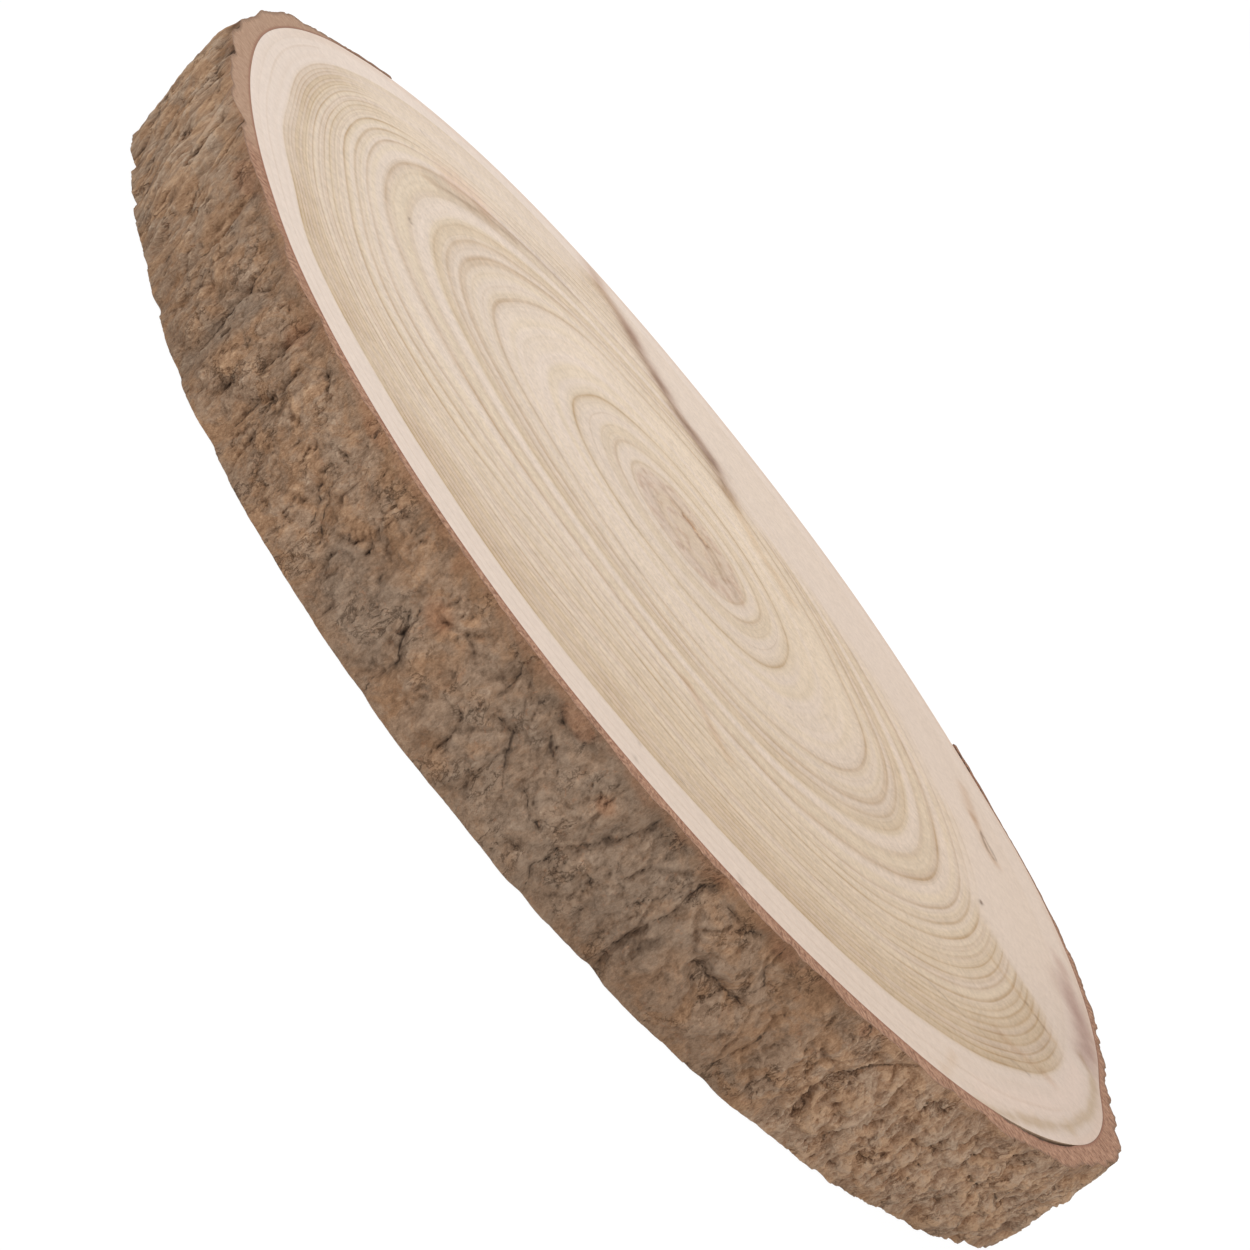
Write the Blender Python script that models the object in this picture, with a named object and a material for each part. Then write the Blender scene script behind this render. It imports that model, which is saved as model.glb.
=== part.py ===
"""Wood slice: a disc sawn across a round log, with bark round most of its rim.

Two solids lie flat on the ground plane. The wood is one disc, from the pith to the
growing layer under the bark. The bark is one curved strip that covers the rim all but
a stretch on the far side, a hair's breadth off the wood and gaping from it in one place.

Lengths are in metres, angles in degrees about the log's axis, counted from +X.
Outlines and furrows are written in millimetres and scaled once, by MM.
"""

import math
import random

import bmesh
import bpy
import numpy as np

MM = 0.001

# Driving dimensions. The log's axis stands where it puts the middle of the slice's box
# at the origin.
THICKNESS = 32.0 * MM
LOG_AXIS = (-1.8 * MM, 5.9 * MM)
WOOD_COLUMNS = 450
TOUCH_GAP = 0.3 * MM

# Angle, and the wood's radius there on the upper sawn face
WOOD_OUTLINE = (
    (-165, 139.6), (-150, 139.8), (-140, 141.6), (-130, 144.8), (-118, 147.2), (-103, 148.2),
    (-90, 147.0), (-80, 144.7), (-70, 143.2), (-58, 141.4), (-48, 141.0), (-38, 142.0),
    (-18, 143.8), (-6, 144.6), (2, 143.4), (9, 140.9), (18, 141.2), (30, 142.3), (45, 143.2),
    (60, 141.0), (80, 141.7), (100, 141.3), (115, 143.0), (130, 144.5), (150, 144.3),
    (165, 143.3), (180, 141.7),
)

# Angle, and how far the foot of the rim is tucked in below its top edge, for the log
# wasn't quite straight
RIM_UNDERCUT = (
    (-171, 6.0), (-160, 8.0), (-150, 8.0), (-140, 6.8), (-123, 4.2), (-112, 2.6), (-100, 0.9),
    (-80, 0.7), (-62, 1.5), (-45, 4.2), (-32, 5.6), (-20, 6.2), (-9, 3.4), (0, 0.6), (20, 0.6),
    (60, 2.2), (100, 3.2), (140, 2.2), (170, 4.0),
)

# The bark runs clockwise round the near side between these two angles
BARK_FROM = -203.0
BARK_TO = 54.0
BARK_COLUMNS = 322
BARK_ROWS = 10
THINNEST_BARK = 1.1 * MM

# Angle, and the bark's thickness there
BARK_THICKNESS = (
    (-206, 1.3), (-200, 2.2), (-190, 3.8), (-180, 5.2), (-170, 6.9), (-155, 5.8), (-140, 5.1),
    (-130, 4.3), (-118, 3.9), (-103, 4.1), (-90, 4.6), (-80, 5.3), (-70, 5.7), (-58, 6.0),
    (-38, 5.7), (-18, 6.1), (-6, 6.1), (2, 5.6), (9, 4.4), (18, 3.6), (30, 2.8), (40, 2.7),
    (50, 1.8), (57, 1.3), (105, 1.3),
)

# How far the bark's side swells out between its two sawn edges
BARK_BELLY = 0.7 * MM

# The dry gap between the bark and the wood, widest at its middle
GAPE_FROM = -34.0
GAPE_TO = -10.0
GAPE_WIDTH = 0.9 * MM
GAPE_AT_FOOT = 0.45

# The furrows between the bark's plates: half width, depth, and the way that each one
# takes up the rim as (angle, height)
FURROWS = (
    (2.2, 1.9, ((-156.6, 33), (-155.3, 27), (-153.0, 20))),
    (2.2, 1.7, ((-157.2, 15), (-156.4, 8), (-156.8, -1))),
    (2.3, 1.9, ((-150.4, 33), (-148.2, 22), (-146.4, 13), (-145.6, 4))),
    (2.3, 1.6, ((-139.4, 28), (-138.4, 19), (-138.9, 9), (-138.0, -1))),
    (3.6, 1.8, ((-132.4, 33), (-130.6, 22), (-129.6, 12), (-129.0, -1))),
    (2.4, 1.7, ((-123.2, 33), (-122.9, 17), (-121.0, 12), (-120.8, -1))),
    (2.6, 1.0, ((-112.4, 33), (-111.6, 21))),
    (2.0, 1.5, ((-111.9, 18), (-110.4, 12), (-108.8, 7))),
    (1.8, 1.0, ((-105.6, 20), (-105.0, 13))),
    (1.8, 1.2, ((-103.2, 17), (-102.4, 9))),
    (1.8, 1.3, ((-100.2, 18), (-98.8, 12), (-97.3, 6), (-97.2, -1))),
    (1.7, 1.4, ((-91.6, 31), (-91.0, 21))),
    (1.7, 1.3, ((-90.4, 19), (-88.2, 18), (-86.8, 12), (-87.4, 4))),
    (2.0, 1.3, ((-86.4, 25), (-85.4, 22))),
    (2.2, 2.4, ((-76.4, 33), (-76.8, 26), (-77.8, 21), (-78.5, 14), (-79.6, 10), (-78.8, 4), (-78.4, -1))),
    (1.9, 2.2, ((-69.4, 33), (-70.3, 27), (-70.0, 20), (-70.6, 12), (-70.7, 7), (-70.2, -1))),
    (1.7, 1.6, ((-66.2, 16), (-63.4, 16.4), (-60.2, 16))),
    (2.0, 1.8, ((-61.9, 33), (-61.8, 28), (-60.4, 24), (-59.4, 19))),
    (2.8, 1.6, ((-57.2, 30), (-58.2, 22), (-56.8, 14), (-56.4, -1))),
    (2.1, 3.0, ((-44.8, 29), (-46.6, 24), (-48.4, 18), (-48.2, 12.5))),
    (1.8, 1.4, ((-42.6, 18), (-42.4, 8))),
    (2.2, 1.5, ((-39.6, 31), (-40.0, 20), (-39.4, 8), (-39.8, -1))),
    (2.0, 1.7, ((-35.0, 33), (-33.2, 27), (-33.0, 20), (-36.4, 17))),
    (2.4, 1.5, ((-30.2, 26), (-29.0, 18), (-31.4, 13))),
    (2.2, 1.9, ((-27.2, 27), (-24.6, 25))),
    (2.0, 1.6, ((-28.4, 10), (-27.8, 6), (-28.6, -1))),
    (2.0, 1.6, ((-24.6, 17), (-20.4, 15.5), (-17.4, 15))),
)

# Out of the list's reach the furrows follow a rule: how far apart they stand and how far
# they wander in degrees, their half width and depth, and the part of them that runs out
# half way up or down the rim, between two heights
RULED_STRETCHES = ((BARK_FROM, -159.0), (-15.0, BARK_TO))
RULED_SPACING = (3.2, 6.4)
RULED_WANDER = 1.1
RULED_WIDTH = (1.8, 2.6)
RULED_DEPTH = (1.2, 2.2)
RULED_CORNERS = 4
SHORT_SHARE = 0.5
SHORT_END = (8, 22)
FURROW_SEED = 41

# Where a furrow that crosses the whole rim starts and ends, just past the sawn edges
PAST_FOOT = -1
PAST_BRIM = 33

# The plates' own low swelling: its height, how many waves are laid over each other, and
# how many radians each one turns in a full round and in a metre of height
SWELL = 0.42 * MM
SWELL_WAVES = 26
SWELL_ROUND_RIM = (8, 34)
SWELL_UP_RIM = (-45, 45)
SWELL_SEED = 7

# The thickness over which relief grows to its full depth on thin bark
RELIEF_EASE = 2.0 * MM

# How far in degrees the bark's two torn ends stray, how far back the tear shows, and its
# waves as turns in the rim's height, phase and share
TORN_STRAY = 1.3
TORN_REACH = 2.4
TORN_WAVES = ((1.5, 0.6, 1.0), (3.7, 2.1, 0.6))

WOOD_COLOUR = (0.62, 0.47, 0.33)
BARK_COLOUR = (0.23, 0.15, 0.10)
WOOD_ROUGHNESS = 0.62
BARK_ROUGHNESS = 0.9


def smooth_round(points, angles):
    """The smooth closed curve through (angle, value) points, read at the given angles."""
    known = np.array(sorted((angle % 360.0, value) for angle, value in points))
    at = np.concatenate((known[-2:, 0] - 360.0, known[:, 0], known[:2, 0] + 360.0))
    value = np.concatenate((known[-2:, 1], known[:, 1], known[:2, 1]))
    slope = np.gradient(value, at)
    place = np.mod(angles, 360.0)
    left = np.searchsorted(at, place, side="right") - 1
    span = at[left + 1] - at[left]
    t = (place - at[left]) / span
    return (
        value[left] * (1 + 2 * t) * (1 - t) ** 2
        + slope[left] * span * t * (1 - t) ** 2
        + value[left + 1] * t * t * (3 - 2 * t)
        - slope[left + 1] * span * t * t * (1 - t)
    )


def wood_radius(angles, heights):
    """The wood's radius at each angle and height."""
    undercut = smooth_round(RIM_UNDERCUT, angles) * (1 - heights / THICKNESS)
    return (smooth_round(WOOD_OUTLINE, angles) - undercut) * MM


def gape(angles, heights):
    """How far the bark stands off the wood in its dry gap."""
    along = np.clip((angles - GAPE_FROM) / (GAPE_TO - GAPE_FROM), 0, 1)
    down = GAPE_AT_FOOT + (1 - GAPE_AT_FOOT) * heights / THICKNESS
    return GAPE_WIDTH * np.sin(math.pi * along) ** 2 * down


def bark_inner_radius(angles, heights):
    return wood_radius(angles, heights) + TOUCH_GAP + gape(angles, heights)


def ruled_furrows():
    """Furrows for the stretches that the list leaves out, from a seeded draw."""
    draw = random.Random(FURROW_SEED)
    furrows = []
    for start, end in RULED_STRETCHES:
        angle = start + draw.uniform(*RULED_SPACING)
        while angle < end:
            ends = [PAST_FOOT, PAST_BRIM]
            if draw.random() < SHORT_SHARE:
                ends[draw.randrange(2)] = draw.uniform(*SHORT_END)
            path = tuple(
                (angle + draw.uniform(-RULED_WANDER, RULED_WANDER), height)
                for height in np.linspace(*ends, RULED_CORNERS)
            )
            furrows.append((draw.uniform(*RULED_WIDTH), draw.uniform(*RULED_DEPTH), path))
            angle += draw.uniform(*RULED_SPACING)
    return furrows


def distance_to_path(along, up, path, per_degree):
    """The distance on the unrolled rim from each point to a furrow's path, all in millimetres."""
    nearest = np.full(along.shape, np.inf)
    corners = [np.array((angle * per_degree, height)) for angle, height in path]
    for start, end in zip(corners, corners[1:]):
        run = end - start
        share = ((along - start[0]) * run[0] + (up - start[1]) * run[1]) / run.dot(run)
        share = np.clip(share, 0, 1)
        away = np.hypot(along - start[0] - share * run[0], up - start[1] - share * run[1])
        nearest = np.minimum(nearest, away)
    return nearest


def furrow_depth(angles, heights):
    """How deep the furrows cut at each point."""
    per_degree = math.radians(1) * np.mean([radius for _, radius in WOOD_OUTLINE])
    along = angles * per_degree
    up = heights / MM
    depth = np.zeros(angles.shape)
    for width, deepest, path in [*FURROWS, *ruled_furrows()]:
        away = distance_to_path(along, up, path, per_degree)
        depth = np.maximum(depth, deepest * np.exp(-((away / width) ** 2)))
    return depth * MM


def swell(angles, heights):
    """The low swelling of the plates: seeded waves, short round the rim and long up it."""
    draw = random.Random(SWELL_SEED)
    total = np.zeros(angles.shape)
    for _ in range(SWELL_WAVES):
        round_rim = draw.uniform(*SWELL_ROUND_RIM)
        up_rim = draw.uniform(*SWELL_UP_RIM)
        phase = draw.uniform(0, 2 * math.pi)
        total += np.cos(np.radians(angles) * round_rim + heights * up_rim + phase)
    return SWELL * total / math.sqrt(SWELL_WAVES / 2)


def bark_outer_radius(angles, heights):
    """The bark's furrowed outside."""
    thickness = smooth_round(BARK_THICKNESS, angles) * MM
    plain = np.maximum(thickness, THINNEST_BARK)
    ease = np.clip((plain - THINNEST_BARK) / RELIEF_EASE, 0, 1)
    belly = BARK_BELLY * np.sin(math.pi * heights / THICKNESS)
    relief = ease * (belly + swell(angles, heights) - furrow_depth(angles, heights))
    outside = wood_radius(angles, heights) + TOUCH_GAP + plain + relief
    return np.maximum(outside, bark_inner_radius(angles, heights) + THINNEST_BARK)


def torn_shift(angles, heights):
    """How far, in degrees, the strip's torn ends stray at each height."""
    round_trip = heights / THICKNESS * 2 * math.pi
    stray = sum(share * np.sin(turns * round_trip + phase) for turns, phase, share in TORN_WAVES)
    first = np.exp(-(angles - BARK_FROM) / TORN_REACH)
    last = np.exp(-(BARK_TO - angles) / TORN_REACH)
    return TORN_STRAY * stray * (first - last)


def point(angle, radius, height):
    turn = math.radians(angle)
    return (radius * math.cos(turn), radius * math.sin(turn), height)


def material(name, colour, roughness):
    made = bpy.data.materials.new(name)
    made.use_nodes = True
    shader = made.node_tree.nodes["Principled BSDF"]
    shader.inputs["Base Color"].default_value = (*colour, 1.0)
    shader.inputs["Roughness"].default_value = roughness
    shader.inputs["Metallic"].default_value = 0.0
    return made


def add_object(name, mesh, finish):
    """Turn a finished bmesh into one named object with one material."""
    bmesh.ops.recalc_face_normals(mesh, faces=mesh.faces[:])
    data = bpy.data.meshes.new(name)
    mesh.to_mesh(data)
    mesh.free()
    data.shade_smooth()
    data.set_sharp_from_angle(angle=math.radians(40))
    data.materials.append(finish)
    made = bpy.data.objects.new(name, data)
    made.location = (*LOG_AXIS, 0.0)
    bpy.context.collection.objects.link(made)


def make_wood():
    """The disc: its lower and upper outlines, faced and joined by the rim."""
    angles = np.arange(WOOD_COLUMNS) * 360.0 / WOOD_COLUMNS
    mesh = bmesh.new()
    outlines = []
    for height in (0.0, THICKNESS):
        radii = wood_radius(angles, height)
        outlines.append([mesh.verts.new(point(a, r, height)) for a, r in zip(angles, radii)])
        mesh.faces.new(outlines[-1])
    bmesh.ops.bridge_loops(mesh, edges=mesh.edges[:])
    add_object("wood", mesh, material("wood", WOOD_COLOUR, WOOD_ROUGHNESS))


def make_bark():
    """The bark: one section after another round the rim, skinned and closed at both torn ends."""
    plain = np.linspace(BARK_FROM, BARK_TO, BARK_COLUMNS + 1)
    levels = np.linspace(THICKNESS, 0.0, BARK_ROWS + 1)
    angles, heights = np.meshgrid(plain, levels, indexing="ij")
    angles = angles + torn_shift(angles, heights)
    outer = bark_outer_radius(angles, heights)
    inner = bark_inner_radius(angles, heights)

    mesh = bmesh.new()
    sections = []
    for column in range(BARK_COLUMNS + 1):
        outside = [
            mesh.verts.new(point(angles[column, row], outer[column, row], levels[row]))
            for row in range(BARK_ROWS + 1)
        ]
        inside = [
            mesh.verts.new(point(angles[column, row], inner[column, row], levels[row]))
            for row in (BARK_ROWS, 0)
        ]
        sections.append(outside + inside)
    for here, there in zip(sections, sections[1:]):
        for index in range(len(here)):
            after = (index + 1) % len(here)
            mesh.faces.new((here[index], here[after], there[after], there[index]))
    middle = BARK_ROWS // 2
    for section in (sections[0], sections[-1]):
        inner_foot, inner_brim = section[-2:]
        for row in range(middle):
            mesh.faces.new((inner_brim, section[row], section[row + 1]))
        mesh.faces.new((inner_brim, section[middle], inner_foot))
        for row in range(middle, BARK_ROWS):
            mesh.faces.new((inner_foot, section[row], section[row + 1]))
    add_object("bark", mesh, material("bark", BARK_COLOUR, BARK_ROUGHNESS))


for old in list(bpy.data.objects):
    bpy.data.objects.remove(old)
make_wood()
make_bark()
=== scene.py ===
"""Looks for the wood slice: its rings, sapwood, stains and small checks, and its furrowed bark.

Angles are in degrees, and the log's axis and the pith are the two points they turn about.
Features are written in millimetres and scaled once, by MM.
"""

import math

import bpy
import numpy as np
from mathutils import Matrix, Vector, noise
from mathutils.bvhtree import BVHTree


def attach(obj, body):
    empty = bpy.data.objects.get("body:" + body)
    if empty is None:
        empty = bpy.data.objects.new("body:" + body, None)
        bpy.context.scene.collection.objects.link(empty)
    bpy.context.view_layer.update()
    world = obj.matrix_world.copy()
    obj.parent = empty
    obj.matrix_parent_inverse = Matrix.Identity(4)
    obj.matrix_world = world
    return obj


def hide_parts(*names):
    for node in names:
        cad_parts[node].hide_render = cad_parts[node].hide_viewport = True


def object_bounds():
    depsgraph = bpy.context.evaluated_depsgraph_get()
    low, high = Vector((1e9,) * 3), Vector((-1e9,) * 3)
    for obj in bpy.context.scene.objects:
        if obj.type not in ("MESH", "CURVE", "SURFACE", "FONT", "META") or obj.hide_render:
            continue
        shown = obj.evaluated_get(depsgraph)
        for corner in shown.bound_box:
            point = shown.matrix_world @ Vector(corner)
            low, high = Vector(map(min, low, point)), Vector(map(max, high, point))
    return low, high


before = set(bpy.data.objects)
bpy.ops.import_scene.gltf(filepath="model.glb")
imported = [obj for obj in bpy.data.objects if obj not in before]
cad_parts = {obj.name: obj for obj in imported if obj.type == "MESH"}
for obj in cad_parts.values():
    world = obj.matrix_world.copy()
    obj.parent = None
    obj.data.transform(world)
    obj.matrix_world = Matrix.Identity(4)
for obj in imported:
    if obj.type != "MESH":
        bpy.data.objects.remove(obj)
cad_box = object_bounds()

MM = 0.001
LOG_AXIS = np.array((-1.8, 5.9)) * MM
PITH = LOG_AXIS + np.array((-5.5, 31)) * MM
PITH_OFF_AXIS = (PITH - LOG_AXIS) / MM
THICKNESS = cad_box[1].z - cad_box[0].z

# A little inside the sawn faces, well outside the slice, and the angle that counts as an edge
EDGE = 0.05 * MM
OUTSIDE = 0.3
SHARP_ANGLE = 55

# Camera, from the photograph: how far it looks down, its roll, its distance from the
# middle of the upper face, and where that middle lies off the picture's own, in pixels
LOOK_DOWN = 11.7
ROLL = 52.75
DISTANCE = 1.6
PIXELS_PER_METRE = 4820
PICTURE = 1250
SENSOR = 36
MIDDLE_RIGHT = 57
MIDDLE_UP = 50

# Wood face grid
WOOD_COLUMNS = 540
FACE_RINGS = 162
UNDERSIDE_RINGS = 30

# The wood's rim, row by row: height, and how much of the worn edge is gone there
RIM_ROWS = (
    (32, 1), (31.9, 0.5), (31.55, 0), (30, 0), (26, 0), (21, 0), (16, 0),
    (11, 0), (6, 0), (2, 0), (0.45, 0), (0.1, 0.5), (0, 1),
)

# Where the bark covers the rim, about the log's axis
BARK_FROM = -203.0
BARK_TO = 54.0

# Bark grid: where its fine columns run and how far apart, the columns on each side of them,
# rows down the outer and the inner wall, points across the foot, and steps across the brim
FINE_COLUMNS = (-168, -12, 0.18)
BACK_COLUMNS = 150
FRONT_COLUMNS = 196
BARK_ROWS = 64
INNER_ROWS = 4
FOOT_SHARES = (0.4, 0.8)
BRIM_STEPS = 7

# A degree along the bark, and the gaps to the wood that count as closed and as open
PER_DEGREE = math.radians(1) * 147
CLOSED_GAP = 0.32
OPEN_GAP = 0.62

# The bark's torn ends: how far either way they are looked for, in how many halvings, how far
# along the bark its columns follow their slant, and the least thickness of bark
END_ROOM = 8
END_HALVINGS = 14
END_FADE = 2.6
LEAST_BARK = 0.9

# Growth rings about the pith: a name, which is the ring's radius straight towards the
# viewer, and its radius at each angle
RING_TRACES = (
    (24, ((-180, 26), (-145, 25.5), (-90, 24), (-45, 24.5), (0, 23.6), (30, 25.5), (60, 26.5),
        (90, 26.5), (150, 26))),
    (39, ((-180, 37), (-165, 38.5), (-145, 39.8), (-110, 40), (-90, 39), (-55, 38.3), (-35, 36.8),
        (-15, 34.2), (0, 33.2), (30, 34), (60, 35), (90, 36.5), (120, 37), (150, 37))),
    (62.5, ((-180, 62.5), (-165, 65), (-150, 65.8), (-140, 65.2), (-125, 62.5), (-110, 61.5),
        (-90, 62.5), (-65, 64), (-35, 63), (-15, 61.3), (0, 60.5), (20, 59.5), (35, 57.5), (60, 58),
        (90, 60), (120, 60), (140, 63), (160, 62.5))),
    (95.5, ((-180, 99), (-165, 100.8), (-150, 101.8), (-135, 99.7), (-125, 98), (-115, 97),
        (-105, 95.5), (-65, 95.5), (-55, 96), (-45, 94), (-30, 91.5), (-10, 88.5), (0, 86), (30, 80),
        (60, 76), (90, 77), (120, 79), (150, 88), (165, 95))),
    (104, ((-180, 105), (-165, 106.8), (-155, 107.8), (-145, 109.5), (-130, 113.5), (-125, 113.8),
        (-115, 110.3), (-105, 107.5), (-95, 104.5), (-85, 103.8), (-45, 104), (-35, 101.5), (-25, 99),
        (-15, 97), (0, 94), (30, 87), (60, 82), (90, 81), (120, 84), (150, 93), (165, 100))),
    (115, ((-180, 111), (-165, 114), (-145, 118), (-135, 123), (-125, 127), (-115, 126.8),
        (-110, 125.5), (-105, 122.5), (-100, 119), (-95, 115.5), (-90, 114.8), (-75, 114.3),
        (-45, 112.5), (-25, 107), (0, 101), (30, 93), (60, 88), (90, 87), (120, 90), (150, 99),
        (165, 105))),
    (138, ((-180, 118), (-165, 121.5), (-150, 127), (-135, 135), (-125, 140), (-115, 142),
        (-105, 140.5), (-95, 140), (-90, 137.5), (-68, 136), (-45, 130), (-25, 123), (0, 114),
        (30, 102), (60, 97), (90, 95), (120, 98), (150, 108), (165, 113))),
    (162.5, ((-185, 123), (-175, 126.5), (-165, 129.5), (-155, 132.5), (-145, 139), (-135, 144.5),
        (-125, 154), (-115, 158), (-105, 161), (-90, 162.5), (-80, 159.5), (-65, 154), (-50, 150.5),
        (-40, 147), (-30, 143), (-20, 140), (-10, 136), (0, 131), (30, 118), (60, 107), (90, 102),
        (120, 105), (150, 115))),
)
OUTERMOST_RING = 177.5
SAPWOOD_FROM = 162.3

# Dark lines in the wood: ring name, strength and half width
DARK_RINGS = (
    (11, 0.08, 0.9), (18, 0.14, 0.8), (23.5, 0.5, 1.2), (28.5, 0.22, 1.2), (33, 0.24, 1.3),
    (39, 0.74, 1.6), (45.5, 0.22, 1.3), (53.5, 0.3, 1.5), (62.5, 0.74, 1.8), (66.5, 0.22, 1),
    (72.5, 0.66, 2.2), (76.6, 0.42, 1.3), (80.8, 0.58, 1.6), (88.4, 0.42, 2), (95.6, 0.95, 2.4),
    (99.5, 0.18, 0.8), (104, 0.56, 1.2), (109.5, 0.6, 1.2), (115, 0.84, 1.3),
    (118.2, 0.36, 1), (122.3, 0.3, 1.2), (126, 0.46, 1.2), (130, 0.62, 1.3),
    (133.8, 0.42, 1.2), (138.4, 0.68, 1.5), (141.4, 0.32, 1), (144, 0.55, 1.2),
    (147, 0.58, 1.2), (150, 0.62, 1.2), (153, 0.6, 1.2), (156, 0.66, 1.2),
    (159, 0.7, 1.2), (162, 0.95, 1.2), (166.4, 0.26, 0.6), (170.4, 0.3, 0.6),
    (174.2, 0.24, 0.5),
)

# Pale zones between them: ring name, strength and half width
PALE_RINGS = (
    (21, 0.5, 1.2), (31, 0.3, 3), (35.5, 0.3, 2.2), (43.5, 0.45, 2.6), (50, 0.6, 4.6),
    (57.5, 0.6, 4), (67.5, 0.35, 2.2), (84.8, 0.6, 2.6), (92, 0.42, 1.8), (99, 0.3, 2),
    (101.2, 0.34, 2), (106.6, 0.26, 1.5), (112.2, 0.34, 1.6), (117, 0.26, 0.9),
    (128, 0.14, 1), (136.2, 0.26, 1.3), (142.8, 0.16, 0.8),
)

# Where the wood turns pale on the far side, as (angle, radius) about the pith
PALE_FROM = (
    (-24, 175), (-20, 146), (-13, 138), (-8, 132), (-3, 122), (-1.8, 112), (1.3, 101), (7, 93),
    (27, 92), (33, 86), (49, 84), (70, 72), (85, 64), (93, 64), (98, 70), (104, 73), (110, 78),
    (114, 86), (117, 92), (120, 100), (123, 108), (130, 98), (138, 92), (150, 96), (160, 102),
    (170, 110), (178, 120), (179.9, 122),
)

# Curves that hold the ring strength: names and steps in each, and the height for plain wood
RING_CURVE_SPAN = 60.0
RING_CURVE_STEPS = 180
PLAIN_WOOD = 0.3

# Soft stains on the face: how they multiply the wood's colour, half width, and their way
# as (angle, radius) about the pith
STAINS = (
    ((0.76, 0.67, 0.61), 3.6, ((123, 109), (121.6, 103.3), (119.3, 99.6), (117.4, 94.4))),
    ((0.64, 0.55, 0.51), 4.2, ((118, 96), (116.5, 88.5), (114, 86), (112.4, 83))),
    ((0.74, 0.66, 0.61), 3, ((112.6, 83), (110.1, 77.6), (107, 74.4), (104, 73.6))),
    ((0.66, 0.58, 0.54), 3.8, ((108, 74.2), (103, 73), (98.6, 71.2))),
    ((0.68, 0.6, 0.55), 4.4, ((98.2, 70.4), (95.6, 66.4), (93.4, 63.2))),
    ((0.9, 0.84, 0.75), 2.6, ((93.4, 63), (85, 56), (77.6, 51.6), (71, 52), (62, 51))),
    ((0.87, 0.86, 0.87), 5, ((170, 93), (162.5, 89.8), (153.7, 87.4), (146, 86), (138, 84))),
    ((0.82, 0.76, 0.7), 1.1, ((176, 95), (169.3, 91.6), (162.5, 89.3), (157.7, 88.4), (150, 86))),
    ((0.98, 0.9, 0.86), 5, ((164, 95.5), (160, 95), (156, 92.5))),
    ((0.88, 0.8, 0.72), 2.2, ((-75.4, 94), (-73, 99), (-70.6, 106), (-69, 111))),
    ((0.9, 0.83, 0.76), 2, ((-25, 132), (-22, 136), (-18, 141))),
    ((0.84, 0.75, 0.66), 1.9, ((27.4, 108.6), (29.6, 106.6), (32, 106.6), (35.4, 105.4))),
    ((0.88, 0.81, 0.74), 2, ((35, 105.4), (38.6, 106.8), (42, 108.6))),
    ((0.74, 0.65, 0.64), 4.6, ((-1, 139), (2.4, 137), (7.6, 133.5), (12, 129))),
    ((0.8, 0.72, 0.7), 3, ((2, 139), (7, 136), (12, 132), (18, 128))),
    ((1.05, 1.03, 1.03), 3.4, ((-40, 160), (-32, 154), (-22, 149), (-13, 144), (-7, 139))),
    ((1.06, 1.05, 1.05), 2.2, ((-38, 169), (-30, 163.5), (-21, 158.5), (-13, 154), (-6, 149))),
    ((0.8, 0.74, 0.62), 1.4, ((-42, 166), (-39.4, 165), (-32, 159.4), (-22, 154.2), (-13.7, 149.7),
        (-8, 146), (-3.3, 142.2), (-1.6, 137.7))),
    ((0.92, 0.86, 0.77), 1.3, ((-8.4, 110), (-7.8, 118), (-7.2, 126), (-7.4, 132))),
    ((0.94, 0.89, 0.82), 1.1, ((-42, 153), (-44, 159), (-46.5, 166))),
)

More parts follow.
